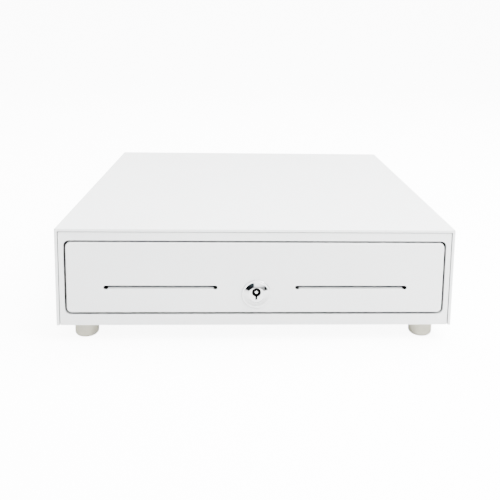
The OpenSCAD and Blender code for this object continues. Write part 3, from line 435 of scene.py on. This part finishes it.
# Width of the eased edge on each node that is seen, in metres
EASED = {
    "cover": 0.35 * MM,
    "front_frame": 0.3 * MM,
    "rear_panel": 0.2 * MM,
    "drawer_front": 0.2 * MM,
    "drawer_tray": 0.2 * MM,
    "till_tray": 0.5 * MM,
    "coin_tray": 0.5 * MM,
    "lock_body": 0.15 * MM,
    "lock_plug": 0.2 * MM,
    "rj_socket": 0.2 * MM,
    **{f"note_clip_{i}": 0.35 * MM for i in range(1, 6)},
}


def ease_edges():
    """Stands an eased piece for each of those nodes; the lock's plug also gets its key way painted dark
    as painted shade.
    """
    for node, width in EASED.items():
        piece = add_piece(node + "_finished", eased_mesh(node, width), node)
        if node == "lock_plug":
            piece.data.materials[0] = plug_chrome(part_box(node)[0][1])


ease_edges()


# ---- Springs ----


def runs_along(node, axis, gap):
    """Boxes of the groups of a node's points that are more than gap apart along an axis."""
    points = sorted((v.co.copy() for v in NODES[node].data.vertices), key=lambda p: p[axis])
    groups = [[points[0]]]
    for before, point in zip(points, points[1:]):
        if point[axis] - before[axis] > gap:
            groups.append([])
        groups[-1].append(point)
    return [
        (
            Vector([min(p[i] for p in group) for i in range(3)]),
            Vector([max(p[i] for p in group) for i in range(3)]),
        )
        for group in groups
    ]


def add_helix(work, low, high, axis, wire, turns):
    """Adds a coil of round wire that fills a box, wound along an axis, with closed end turns."""
    around, per_turn = 10, 20
    side, other = (axis + 1) % 3, (axis + 2) % 3
    middle = (low + high) / 2
    coil = (high[side] - low[side]) / 2 - wire
    start, travel = low[axis] + wire, high[axis] - low[axis] - 2 * wire
    steps = turns * per_turn
    ends = per_turn * 3 // 4

    def centre(i):
        angle = 2 * math.pi * i / per_turn
        place = middle.copy()
        along = min(max((i - ends) / (steps - 2 * ends), 0.0), 1.0)
        lift = min(i, ends) / ends + min(max(i - steps + ends, 0), ends) / ends
        place[axis] = start + wire * lift + (travel - 2 * wire) * along
        place[side] += coil * math.cos(angle)
        place[other] += coil * math.sin(angle)
        return place

    rings = []
    for i in range(steps + 1):
        ahead = (centre(min(i + 1, steps)) - centre(max(i - 1, 0))).normalized()
        out = centre(i) - middle
        out[axis] = 0
        out = (out - ahead * out.dot(ahead)).normalized()
        up = ahead.cross(out)
        rings.append([
            work.verts.new(centre(i) + wire * (out * math.cos(a) + up * math.sin(a)))
            for a in (2 * math.pi * k / around for k in range(around))
        ])
    for ring, following in zip(rings, rings[1:]):
        for k in range(around):
            j = (k + 1) % around
            work.faces.new((ring[k], ring[j], following[j], following[k])).smooth = True
    work.faces.new(rings[0][::-1])
    work.faces.new(rings[-1])


# Node of each coil spring, with the axis it is wound along, its wire's radius and its turns
SPRINGS = (
    ("clip_springs", 0, 0.6 * MM, 5),
    ("latch_spring", 2, 0.6 * MM, 9),
    ("ejector_spring", 1, 0.7 * MM, 5),
)
# Two springs in one node are further apart than this
SPRING_GAP = 8 * MM


def wind_springs():
    """Stands wound springs for the CAD's rings."""
    for node, axis, wire, turns in SPRINGS:
        work = bmesh.new()
        for low, high in runs_along(node, axis, SPRING_GAP):
            add_helix(work, low, high, axis, wire, turns)
        bmesh.ops.recalc_face_normals(work, faces=work.faces)
        mesh = bpy.data.meshes.new(node + "_wound")
        work.to_mesh(mesh)
        work.free()
        add_piece(node + "_wound", mesh, node)


wind_springs()


# ---- Floor and light ----

# Reach of the floor to each side and in front, where it bends up behind, the bend's radius, and its top
FLOOR_REACH = 7.0
BEND_AT = 2.6
BEND_RADIUS = 1.4
FLOOR_TOP = 5.0
BEND_STEPS = 12
# Brightness that the camera sees added on the floor
FLOOR_GLOW = 9.0

# Directions of the dark spots around the studio, with the angles in degrees where they are darkest
# and where they end
DARK_SPOTS = (
    ((-0.58, -0.70, 0.42), 23, 28),
    ((0.85, -0.52, 0.11), 12, 16),
)
DARK_COLOUR = (0.012, 0.016, 0.02)
BRIGHT_COLOUR = (0.96, 0.98, 1.0)
# Brightness of the studio low down and overhead, and the rises (as sines) between which it changes
WORLD_LEVEL = 0.8
WORLD_TOP_LEVEL = 5.0
RISE_LOW = 0.3
RISE_HIGH = 0.5


def floor_mesh():
    """Sheet that runs back flat and then sweeps up in a quarter circle."""
    rows = [(-FLOOR_REACH, 0.0)]
    for i in range(BEND_STEPS + 1):
        turn = math.radians(90 * i / BEND_STEPS)
        rows.append((BEND_AT + BEND_RADIUS * math.sin(turn), BEND_RADIUS * (1 - math.cos(turn))))
    rows.append((BEND_AT + BEND_RADIUS, FLOOR_TOP))
    work = bmesh.new()
    lines = [[work.verts.new((x, y, z)) for x in (-FLOOR_REACH, FLOOR_REACH)] for y, z in rows]
    for low, high in zip(lines, lines[1:]):
        work.faces.new((low[0], low[1], high[1], high[0])).smooth = True
    mesh = bpy.data.meshes.new("floor")
    work.to_mesh(mesh)
    work.free()
    return mesh


def make_floor():
    """Pale seamless floor, whose glow is seen but doesn't light the drawer."""
    floor = bpy.data.objects.new("floor", floor_mesh())
    bpy.context.scene.collection.objects.link(floor)
    s = Shader("floor_paper", (0.72, 0.72, 0.715), 0.85, specular=0.1)
    s.set("Emission Color", (1, 1, 1, 1))
    seen = s.node("ShaderNodeLightPath").outputs["Is Camera Ray"]
    s.link(s.span(seen, 0, 1, 0, FLOOR_GLOW), s.main.inputs["Emission Strength"])
    s.bump(s.noise(900, detail=2), 0.00003, 0.2)
    floor.data.materials.append(s.material)


def make_world():
    """White surround with dark spots, which give the chrome something to reflect."""
    world = bpy.data.worlds.new("studio")
    world.use_nodes = True
    w = Nodes(world.node_tree)
    background = w.tree.nodes["Background"]
    look = w.node("ShaderNodeTexCoord").outputs["Generated"]
    outside = []
    for direction, inner, outer in DARK_SPOTS:
        dot = w.node("ShaderNodeVectorMath", operation="DOT_PRODUCT")
        dot.inputs[1].default_value = Vector(direction).normalized()
        w.link(look, dot.inputs[0])
        edge, middle = (math.cos(math.radians(angle)) for angle in (outer, inner))
        outside.append(w.span(dot.outputs["Value"], edge, middle, 1, 0))
    colour = w.mix(w.math("MULTIPLY", *outside), DARK_COLOUR, BRIGHT_COLOUR)
    w.link(colour, background.inputs["Color"])
    level = w.span(w.axis(look, "Z"), RISE_LOW, RISE_HIGH, WORLD_LEVEL, WORLD_TOP_LEVEL)
    w.link(level, background.inputs["Strength"])
    bpy.context.scene.world = world


def area_light(name, place, target, size, power):
    """Rectangular soft box at a place, facing a target; metres and watts."""
    data = bpy.data.lights.new(name, "AREA")
    data.shape = "RECTANGLE"
    data.size, data.size_y = size
    data.energy = power
    light = bpy.data.objects.new(name, data)
    bpy.context.scene.collection.objects.link(light)
    light.location = place
    light.rotation_euler = (Vector(target) - Vector(place)).to_track_quat("-Z", "Y").to_euler()


make_floor()
make_world()
area_light("overhead", (0.9, 0.1, 2.2), (0.2, 0.1, 0), (2.4, 2.4), 250)
area_light("key_right", (0.62, -0.62, 0.8), (0.15, -0.2, 0.08), (0.4, 0.3), 17)
